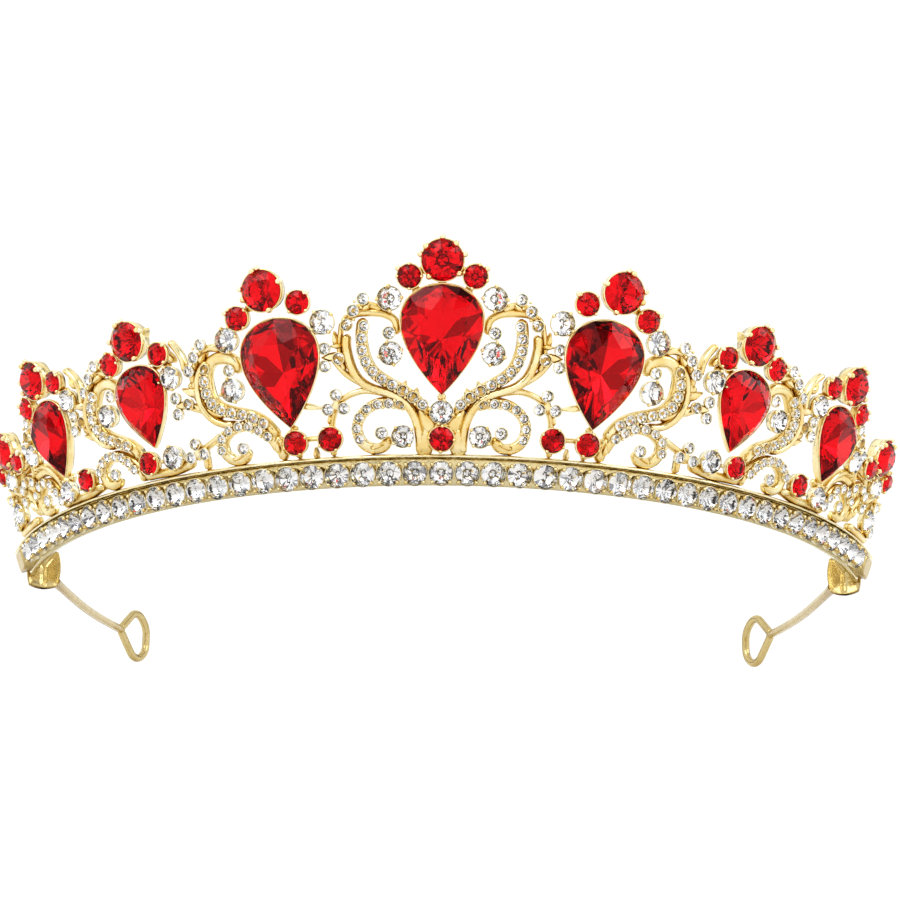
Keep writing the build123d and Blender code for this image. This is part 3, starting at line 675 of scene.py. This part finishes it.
def build_station(station, leaves, seed):
    """Shapes of one station, in the order of SHAPE_NODES."""
    chance = Random(seed)
    reds, clears, cups, work, pear, setting = (Shape() for _ in range(6))
    angle = station["angle"]
    for stones, shape in ((station.get("reds", []), reds), (clear_list(station), clears)):
        for u, t, width in stones:
            spin = chance.uniform(0, pi / 4)
            add_stone(shape, seat(angle, u, t, level(width), spin=spin), round_cut(width), chance)
            add_cup(cups, angle, u, t, width, spin, shape is reds)
    for index, compass in station.get("prongs", []):
        u, t, width = station["reds"][index]
        out = width / 2 + CREST_BALL_OUT
        place = seat(angle, u + out * sin(radians(compass)), t + out * cos(radians(compass)),
                     CREST_BALL_UP)
        points, faces = ball(CREST_BALL)
        cups.add(place(points), faces, PALE_GOLD, True)
    for points, count, width in station.get("rows", []):
        places = np.array(row_places(points, count))
        gaps = (places[:-1] + places[1:]) / 2
        steps = np.diff(places, axis=0)
        steps /= np.linalg.norm(steps, axis=1)[:, None]
        for (u, t), (du, dt) in zip(gaps, steps):
            for hand in (-1, 1):
                place = seat(angle, u - hand * dt * width * BEAD_ASIDE,
                             t + hand * du * width * BEAD_ASIDE, PAVE_LIFT)
                points, faces = ball(BEAD, (0, 0, BEAD_UP))
                cups.add(place(points), faces, DEEP_GOLD, True)
    for points, width in station.get("strips", []):
        add_bar(work, angle, points, width, STRIP_TOP)
    for points, width in station.get("ribs", []):
        add_bar(work, angle, points, width, RIB_TOP)
    for leaf in leaves:
        add_leaf(work, angle, *leaf)
    big_stones = [stone for stone in station.get("reds", []) + station["clears"]
                  if stone[2] > SMALL_STONE]
    add_links(work, angle, big_stones, station.get("pear"))
    if "pear" in station:
        u, t, width, height, lean = station["pear"]
        add_stone(pear, seat(angle, u, t, 0.0, lean), pear_cut(width, height), chance)
        add_setting(setting, angle, station["pear"])
    return reds, clears, cups, work, pear, setting


# ---------------------------------------------------------------------------- materials

DRIFT, WEAR, CAST_SKIN = 300.0, 900.0, 1100.0  # noise scales of the gold, in cycles per metre
PAINTED_SHADE_REACH = 0.0026  # metres within which a surface gets painted shade, as in corners and recesses
GLASS_IOR = 1.56
GLASS_DRIFT, GLASS_WAVE, FOIL_WAVE = 1500.0, 500.0, 600.0


def new_material(name):
    """Material with its nodes, links and main shader."""
    material = bpy.data.materials.new(name)
    material.use_nodes = True
    nodes = material.node_tree.nodes
    return material, nodes, material.node_tree.links, nodes["Principled BSDF"]


def noise(nodes, links, scale, detail=2.0):
    """Noise in the object's own space, with scale in cycles per metre."""
    coordinates = nodes.new("ShaderNodeTexCoord")
    texture = nodes.new("ShaderNodeTexNoise")
    texture.inputs["Scale"].default_value = scale
    texture.inputs["Detail"].default_value = detail
    links.new(coordinates.outputs["Object"], texture.inputs["Vector"])
    return texture.outputs["Fac"]


def ramp(nodes, links, value, stops):
    """Colour ramp over a value, with stops of (place, colour)."""
    node = nodes.new("ShaderNodeValToRGB")
    while len(node.color_ramp.elements) < len(stops):
        node.color_ramp.elements.new(0.5)
    for element, (place, colour) in zip(node.color_ramp.elements, stops):
        element.position = place
        element.color = (*colour, 1.0)
    links.new(value, node.inputs["Fac"])
    return node.outputs["Color"]


def spread(nodes, links, value, low, high):
    """Noise value mapped to a range."""
    node = nodes.new("ShaderNodeMapRange")
    node.inputs["From Min"].default_value = 0.3
    node.inputs["From Max"].default_value = 0.7
    node.inputs["To Min"].default_value = low
    node.inputs["To Max"].default_value = high
    links.new(value, node.inputs["Value"])
    return node.outputs["Result"]


def add_bump(nodes, links, shader, value, strength, distance):
    """Bump on a shader, with distance in metres."""
    node = nodes.new("ShaderNodeBump")
    node.inputs["Strength"].default_value = strength
    node.inputs["Distance"].default_value = distance
    links.new(value, node.inputs["Height"])
    links.new(node.outputs["Normal"], shader.inputs["Normal"])


def painted_facet_light(nodes):
    """The tone kept on each face, read as painted facet light."""
    node = nodes.new("ShaderNodeAttribute")
    node.attribute_name = "tone"
    return node.outputs["Fac"]


def gold_material(name, light, deep, painted_shade, rough):
    """Polished gilt casting: soft colour drift, painted shade (a darker amber base colour) in corners and
    recesses, and a cast skin.
    """
    material, nodes, links, shader = new_material(name)
    shader.inputs["Metallic"].default_value = 1.0
    drift = ramp(nodes, links, noise(nodes, links, DRIFT), [(0.35, deep), (0.65, light)])
    # Painted shade: ambient occlusion blends the base colour towards the darker amber shade colour in
    # corners and recesses.
    painted_shade_ao = nodes.new("ShaderNodeAmbientOcclusion")
    painted_shade_ao.samples = 6
    painted_shade_ao.inputs["Distance"].default_value = PAINTED_SHADE_REACH
    painted_shade_mask = ramp(nodes, links, painted_shade_ao.outputs["AO"], [(0.2, (0, 0, 0)), (0.75, (1, 1, 1))])
    mix = nodes.new("ShaderNodeMix")
    mix.data_type = "RGBA"
    mix.inputs["A"].default_value = (*painted_shade, 1.0)
    links.new(painted_shade_mask, mix.inputs["Factor"])
    links.new(drift, mix.inputs["B"])
    links.new(mix.outputs["Result"], shader.inputs["Base Color"])
    links.new(spread(nodes, links, noise(nodes, links, WEAR), rough * 0.7, rough * 1.4),
              shader.inputs["Roughness"])
    add_bump(nodes, links, shader, noise(nodes, links, CAST_SKIN, 3.0), 0.5, 0.00015)
    return material


def glass_material(name, stops, sheen):
    """Cut glass whose facets are painted a little lighter or darker at random, painted facet light
    standing in for facets that catch light apart, with faint polishing marks.

    sheen tints the reflections at its faces.
    """
    material, nodes, links, shader = new_material(name)
    shader.inputs["Transmission Weight"].default_value = 1.0
    shader.inputs["IOR"].default_value = GLASS_IOR
    shader.inputs["Specular Tint"].default_value = (*sheen, 1.0)
    # Painted facet light: each facet's tone picks a lighter or darker glass colour.
    links.new(ramp(nodes, links, painted_facet_light(nodes), stops), shader.inputs["Base Color"])
    links.new(spread(nodes, links, noise(nodes, links, GLASS_DRIFT), 0.0, 0.03),
              shader.inputs["Roughness"])
    add_bump(nodes, links, shader, noise(nodes, links, GLASS_WAVE), 0.03, 0.0001)
    return material


def foil_material(name, stops):
    """Mirror foil behind a stone, with dark and bright facets painted at random: painted reflection
    standing in for facets that catch light apart.
    """
    material, nodes, links, shader = new_material(name)
    shader.inputs["Metallic"].default_value = 1.0
    # Painted reflection: each facet's tone picks a dark, grey or bright foil colour.
    links.new(ramp(nodes, links, painted_facet_light(nodes), stops), shader.inputs["Base Color"])
    links.new(spread(nodes, links, noise(nodes, links, WEAR), 0.02, 0.08), shader.inputs["Roughness"])
    add_bump(nodes, links, shader, noise(nodes, links, FOIL_WAVE), 0.05, 0.0001)
    return material


# The third colour of each gilt is its painted shade colour for corners and recesses.
gold = gold_material("gilt", (0.96, 0.86, 0.52), (0.86, 0.66, 0.26), (0.62, 0.36, 0.04), 0.14)
pale_gold = gold_material("gilt_cups", (0.95, 0.9, 0.67), (0.9, 0.8, 0.48), (0.68, 0.54, 0.24), 0.14)
wire_gold = gold_material("gilt_wire", (0.63, 0.5, 0.23), (0.55, 0.42, 0.17), (0.48, 0.32, 0.1), 0.2)
# The glass and foil colour stops below are painted facet light, picked by each facet's random tone.
ruby = [glass_material("red_glass", [(0.0, (0.7, 0.0, 0.004)), (0.6, (0.87, 0.001, 0.006)),
                                     (1.0, (0.95, 0.006, 0.012))], (1.0, 0.2, 0.21)),
        foil_material("red_foil", [(0.1, (0.35, 0.12, 0.14)), (0.22, (0.82, 0.68, 0.66)),
                                   (0.45, (1.0, 0.93, 0.9))])]
crystal = [glass_material("clear_glass", [(0.0, (0.94, 0.96, 0.98)), (0.5, (1.0, 1.0, 1.0))], (1, 1, 1)),
           foil_material("silver_foil", [(0.07, (0.3, 0.3, 0.32)), (0.16, (0.82, 0.84, 0.86)),
                                         (0.28, (1.0, 1.0, 1.0))])]

# ---------------------------------------------------------------------------- the front

SHAPE_NODES = ("red_stones", "clear_stones", "stone_cups", "scrollwork", "pear_stone", "pear_setting")
LOOKS = {"red_stones": (ruby, "red_stone"), "clear_stones": (crystal, "clear_stone"),
         "stone_cups": ([pale_gold, gold], "gold"), "scrollwork": ([gold], "gold"),
         "pear_stone": (ruby, "red_stone"), "pear_setting": ([gold], "gold")}


def show(shapes, place):
    """Make the pieces of one station."""
    for node, shape in zip(SHAPE_NODES, shapes):
        if shape.points:
            materials, slot = LOOKS[node]
            make_piece(f"cut_{node}_{place}", shape, materials, slot, f"{node}_{place}")


middle_shapes = build_station(CENTRE, [], 1)
right_half = build_station(CENTRE_SIDE, LEAVES["centre"], 2)
for whole, half in zip(middle_shapes, right_half):
    whole.merge(half)
    whole.merge(half.mirrored())
show(middle_shapes, "centre")
for number, (name, station) in enumerate(STATIONS.items()):
    shapes = build_station(station, LEAVES[name], 10 + number)
    show(shapes, f"{name}_right")
    show([shape.mirrored() for shape in shapes], f"{name}_left")

# ---------------------------------------------------------------------------- the band

def band_sweep(section):
    """Section of (t, n) points carried round the band."""
    shape = Shape()
    turns = [radians(BAND_HALF_ANGLE) * (2 * k / BAND_STEPS - 1) for k in range(BAND_STEPS + 1)]
    rings = [[(sin(a) * reach(t, n), AXIS_Y - cos(a) * reach(t, n), rise(t, n)) for t, n in section]
             for a in turns]
    tube(shape, rings, False)
    return shape


strip_section = [(BAND_BOTTOM, STRIP_BACK), (BAND_BOTTOM, STRIP_FACE),
                 (BAND_BOTTOM + STRIP_BEVEL, STRIP_FACE + STRIP_CROWNING[0]),
                 (BAND_TOP - STRIP_BEVEL, STRIP_FACE + STRIP_CROWNING[1]),
                 (BAND_TOP, STRIP_FACE), (BAND_TOP, STRIP_BACK)]
strip = band_sweep(strip_section)
block_outline = [(0.5 * END_BLOCK_LENGTH * x, 0.5 * END_BLOCK_WIDTH * y)
                 for x, y in ((-0.8, -1), (0.8, -1), (1, -0.7), (1, 0.7),
                              (0.8, 1), (-0.8, 1), (-1, 0.7), (-1, -0.7))]
for sign in (1, -1):
    block = Shape()
    place = seat(END_BLOCK_MIDDLE, 0, 0)
    rings = [place([(x * share, y * share, n) for x, y in block_outline])
             for share, n in END_BLOCK_LAYERS]
    tube(block, rings, False, 1)
    strip.merge(block if sign > 0 else block.mirrored())
make_piece("cut_band_strip", strip, [pale_gold, wire_gold], "gold", "band_strip")

rail_section = []
for k in range(RAIL_SIDES):
    a = 2 * pi * k / RAIL_SIDES
    rail_section.append((RAIL_MIDDLE + RAIL_HALF_HEIGHT * sin(a), RAIL_CENTRE + RAIL_HALF_DEPTH * cos(a)))
make_piece("cut_band_rail", band_sweep(rail_section), [pale_gold], "gold", "band_rail")

band_chance = Random(7)
band_stones, band_cups = Shape(), Shape()
for k in range(-BAND_STONES_A_SIDE, BAND_STONES_A_SIDE + 1):
    spin = band_chance.uniform(0, pi / 4)
    place = seat(0.0, k * BAND_PITCH, 0.0, 0.0, spin=spin)
    add_stone(band_stones, place, round_cut(BAND_STONE), band_chance)
    add_cup(band_cups, 0.0, k * BAND_PITCH, 0.0, BAND_STONE, 0.0)
make_piece("cut_band_stones", band_stones, crystal, "clear_stone", "band_stones")
make_piece("cut_band_cups", band_cups, [pale_gold, gold], "gold", "band_cups")

# ---------------------------------------------------------------------------- ends

def round_corners(points, radii, closed=False):
    """Straight runs joined by arcs, as a list of points close together."""
    corners = [np.array(point, float) for point in points]
    count = len(corners)
    route = [] if closed else [corners[0]]
    turns = range(count) if closed else range(1, count - 1)
    for k, radius in zip(turns, radii):
        here, before, after = corners[k], corners[k - 1], corners[(k + 1) % count]
        back = (before - here) / np.linalg.norm(before - here)
        ahead = (after - here) / np.linalg.norm(after - here)
        half = np.arccos(np.clip(back @ ahead, -1, 1)) / 2
        middle = here + (back + ahead) / np.linalg.norm(back + ahead) * radius / sin(half)
        start = here + back * radius / tan(half) - middle
        finish = here + ahead * radius / tan(half) - middle
        sweep = pi - 2 * half
        steps = 8
        for step in range(steps + 1):
            share = step / steps
            point = (sin((1 - share) * sweep) * start + sin(share * sweep) * finish) / sin(sweep)
            route.append(middle + point)
    if not closed:
        route.append(corners[-1])
    return route


def add_wire(shape, route, normal, closed, radii):
    """Wire along a route; normal is a direction that is never along it.

    radii gives the half widths at a share of the route.
    """
    route = np.array(route)
    ahead = np.roll(route, -1, axis=0) - route
    behind = route - np.roll(route, 1, axis=0)
    if not closed:
        ahead[-1], behind[0] = behind[-1], ahead[0]
    rings = []
    for k, point in enumerate(route):
        forward = ahead[k] / np.linalg.norm(ahead[k]) + behind[k] / np.linalg.norm(behind[k])
        forward /= np.linalg.norm(forward)
        first = np.cross(normal, forward)
        first /= np.linalg.norm(first)
        second = np.cross(forward, first)
        wide, thick = radii(k / (len(route) - 1))
        turns = [2 * pi * a / WIRE_SIDES for a in range(WIRE_SIDES)]
        rings.append([point + first * wide * cos(a) + second * thick * sin(a) for a in turns])
    tube(shape, rings, closed)


def end_loop():
    """Wire arm of the right side, with its closed eye."""
    shape = Shape()
    turned = np.array([-sin(EYE_TURN), cos(EYE_TURN), 0.0])
    normal = np.array([cos(EYE_TURN), sin(EYE_TURN), 0.0])
    middle = np.array(EYE_MIDDLE) + (0, AXIS_Y, 0)
    up = np.array([0.0, 0.0, 1.0])
    ring = [middle + turned * x + up * y for x, y in [EYE_FORK] + EYE_CORNERS]
    bends = [FORK_BEND] + [EYE_BEND] * len(EYE_CORNERS)
    add_wire(shape, round_corners(ring, bends, True), normal, True, lambda share: EYE_WIRE)
    route = [np.array(point) + (0, AXIS_Y, 0) for point in ARM_ROUTE] + [ring[0] + turned * 0.3]
    dense = []
    arm = round_corners(route, [ARM_BEND])
    for start, finish in zip(arm, arm[1:]):
        steps = max(1, int(np.linalg.norm(finish - start) / 1.0))
        dense += [start + (finish - start) * step / steps for step in range(steps)]
    dense.append(arm[-1])
    add_wire(shape, dense, up, False,
             lambda share: (ARM_WIRE[0] + ARM_ROOT * max(0.0, 1 - share * 6) ** 2, ARM_WIRE[1]))
    return shape


TAB_STEPS = 28
TAB_DISH = 0.45
CREASE_DEPTH, CREASE_WIDTH = 0.35, 0.14
CREASE_FORK, CREASE_SLOPE = 0.1, 0.8


def end_tab():
    """Dished plate with raised rims and a forked crease, its front face towards the wearer's face."""
    shape = Shape()
    turn = radians(BAND_HALF_ANGLE)
    away = np.array([sin(turn), -cos(turn), 0.0])
    front = np.array([-cos(turn), -sin(turn), 0.0])
    axis = np.array([0.0, AXIS_Y, 0.0])
    length = TAB_OUTER - TAB_INNER

    def round_square(a, b):
        return a * sqrt(1 - 0.3 * b * b), b * sqrt(1 - 0.3 * a * a)

    def relief(a, b):
        edge = max(abs(a), abs(b)) ** 4
        dish = TAB_DISH * (1 - edge)
        stem = CREASE_DEPTH * np.exp(-(a / CREASE_WIDTH) ** 2) * (b < CREASE_FORK)
        arms = (abs(a) - (b - CREASE_FORK) * CREASE_SLOPE) / CREASE_WIDTH
        fork = CREASE_DEPTH * np.exp(-arms ** 2) * (b >= CREASE_FORK)
        return -(dish + (stem + fork) * (1 - edge))

    def corner(i, j, back):
        a, b = 2 * i / TAB_STEPS - 1, 2 * j / TAB_STEPS - 1
        x, y = round_square(a, b)
        depth = -TAB_THICKNESS if back else relief(a, b)
        return (axis + away * ((TAB_INNER + TAB_OUTER) / 2 + x * length / 2) + front * depth
                + np.array([0, 0, TAB_HEIGHT / 2 + y * TAB_HEIGHT / 2]))

    size = TAB_STEPS + 1
    points = [corner(i, j, back) for back in (False, True) for i in range(size) for j in range(size)]
    faces = []
    for i in range(TAB_STEPS):
        for j in range(TAB_STEPS):
            low = i * size + j
            faces.append((low, low + size, low + size + 1, low + 1))
            faces.append(tuple(size * size + k for k in (low, low + 1, low + size + 1, low + size)))
    rim = ([i * size for i in range(size)] + [TAB_STEPS * size + j for j in range(1, size)]
           + [i * size + TAB_STEPS for i in range(TAB_STEPS - 1, -1, -1)]
           + list(range(TAB_STEPS - 1, 0, -1)))
    for one, two in zip(rim, rim[1:] + rim[:1]):
        faces.append((two, one, one + size * size, two + size * size))
    shape.add(points, faces, 0, True)
    return shape


for hand, flip in (("right", False), ("left", True)):
    loop, tab = end_loop(), end_tab()
    if flip:
        loop, tab = loop.mirrored(), tab.mirrored()
    make_piece(f"cut_end_loop_{hand}", loop, [wire_gold], "gold_wire", f"end_loop_{hand}")
    make_piece(f"cut_end_tab_{hand}", tab, [wire_gold], "gold", f"end_tab_{hand}")

# ---------------------------------------------------------------------------- stage, light, camera

FLOOR_SIDE = 4.0  # metres
FLOOR_SHADES = [(0.3, (0.86, 0.86, 0.86)), (0.7, (0.9, 0.9, 0.9))]
FLOOR_NOISE = 6.0
WORLD_NOISE = 2.4
WORLD_GAPS = [(0.36, (0.12, 0.12, 0.12)), (0.46, (1.0, 1.0, 1.0))]
WORLD_OPENING = [(0.98, (1, 1, 1)), (0.996, (0.3, 0.3, 0.3))]  # dim round the direction of the camera
WORLD_STRENGTH = 1.15
KEY_LIGHT = ("key", (-0.35, -0.6, 0.7), 0.5, 2.5)  # name, place and side in metres, watts
FILL_LIGHT = ("fill", (0.6, -0.3, 0.5), 0.4, 1.2)


def stage_floor():
    """Pale floor. It shows only from above, so that a camera below it still sees the tiara."""
    mesh = bpy.data.meshes.new("floor")
    far = FLOOR_SIDE / 2
    corners = [(-far, -far, 0), (far, -far, 0), (far, far, 0), (-far, far, 0)]
    mesh.from_pydata(corners, [], [(0, 1, 2, 3)])
    material, nodes, links, shader = new_material("floor")
    links.new(ramp(nodes, links, noise(nodes, links, FLOOR_NOISE), FLOOR_SHADES),
              shader.inputs["Base Color"])
    shader.inputs["Roughness"].default_value = 0.9
    sided = nodes.new("ShaderNodeNewGeometry")
    clear = nodes.new("ShaderNodeBsdfTransparent")
    mix = nodes.new("ShaderNodeMixShader")
    links.new(sided.outputs["Backfacing"], mix.inputs["Fac"])
    links.new(shader.outputs["BSDF"], mix.inputs[1])
    links.new(clear.outputs["BSDF"], mix.inputs[2])
    links.new(mix.outputs["Shader"], nodes["Material Output"].inputs["Surface"])
    mesh.materials.append(material)
    floor = bpy.data.objects.new("floor", mesh)
    bpy.context.scene.collection.objects.link(floor)


CAMERA_RANGE = 450.0  # from the middle of the front band stone
CAMERA_BELOW = radians(17.0)
CAMERA_YAW = radians(0.57)
CAMERA_ROLL = radians(0.6)
CAMERA_LENS = 114.66
CAMERA_SHIFT = (0.0099, 0.0259)


def look_direction():
    """Direction from the front band stone to the camera."""
    return Vector((sin(CAMERA_YAW) * cos(CAMERA_BELOW), -cos(CAMERA_YAW) * cos(CAMERA_BELOW),
                   -sin(CAMERA_BELOW)))


def add_camera():
    """Camera in front of the tiara and a little below it."""
    data = bpy.data.cameras.new("camera")
    data.lens = CAMERA_LENS
    data.sensor_width = 36.0
    data.shift_x, data.shift_y = CAMERA_SHIFT
    data.clip_start = 0.01
    camera = bpy.data.objects.new("camera", data)
    bpy.context.scene.collection.objects.link(camera)
    back = look_direction()
    target = Vector((0.0, AXIS_Y - BAND_RADIUS, STONE_LINE)) * MM
    turned = back.to_track_quat("Z", "Y").to_matrix() @ Matrix.Rotation(CAMERA_ROLL, 3, "Z")
    camera.matrix_world = Matrix.Translation(target + back * CAMERA_RANGE * MM) @ turned.to_4x4()
    bpy.context.scene.camera = camera


def add_softbox(name, place, size, power):
    """Square light that faces the origin."""
    data = bpy.data.lights.new(name, "AREA")
    data.shape = "SQUARE"
    data.size = size
    data.energy = power
    lamp = bpy.data.objects.new(name, data)
    bpy.context.scene.collection.objects.link(lamp)
    lamp.location = place
    lamp.rotation_euler = (-Vector(place)).to_track_quat("-Z", "Y").to_euler()


def studio_world():
    """White surroundings, with soft dark gaps that give glass and metal something to show."""
    world = bpy.data.worlds.new("studio")
    bpy.context.scene.world = world
    world.use_nodes = True
    nodes, links = world.node_tree.nodes, world.node_tree.links
    background = nodes["Background"]
    coordinates = nodes.new("ShaderNodeTexCoord")
    texture = nodes.new("ShaderNodeTexNoise")
    texture.inputs["Scale"].default_value = WORLD_NOISE
    texture.inputs["Detail"].default_value = 1.0
    links.new(coordinates.outputs["Generated"], texture.inputs["Vector"])
    tent = ramp(nodes, links, texture.outputs["Fac"], WORLD_GAPS)
    facing = nodes.new("ShaderNodeVectorMath")
    facing.operation = "DOT_PRODUCT"
    facing.inputs[1].default_value = look_direction()
    links.new(coordinates.outputs["Generated"], facing.inputs[0])
    opening = ramp(nodes, links, facing.outputs["Value"], WORLD_OPENING)
    dark = nodes.new("ShaderNodeMix")
    dark.data_type = "RGBA"
    dark.blend_type = "MULTIPLY"
    dark.inputs["Factor"].default_value = 1.0
    links.new(tent, dark.inputs["A"])
    links.new(opening, dark.inputs["B"])
    seen = nodes.new("ShaderNodeLightPath")
    mix = nodes.new("ShaderNodeMix")
    mix.data_type = "RGBA"
    mix.inputs["B"].default_value = (1.0, 1.0, 1.0, 1.0)
    links.new(seen.outputs["Is Camera Ray"], mix.inputs["Factor"])
    links.new(dark.outputs["Result"], mix.inputs["A"])
    links.new(mix.outputs["Result"], background.inputs["Color"])
    background.inputs["Strength"].default_value = WORLD_STRENGTH


stage_floor()
studio_world()
add_softbox(*KEY_LIGHT)
add_softbox(*FILL_LIGHT)
add_camera()
bpy.context.scene.view_settings.view_transform = "Standard"
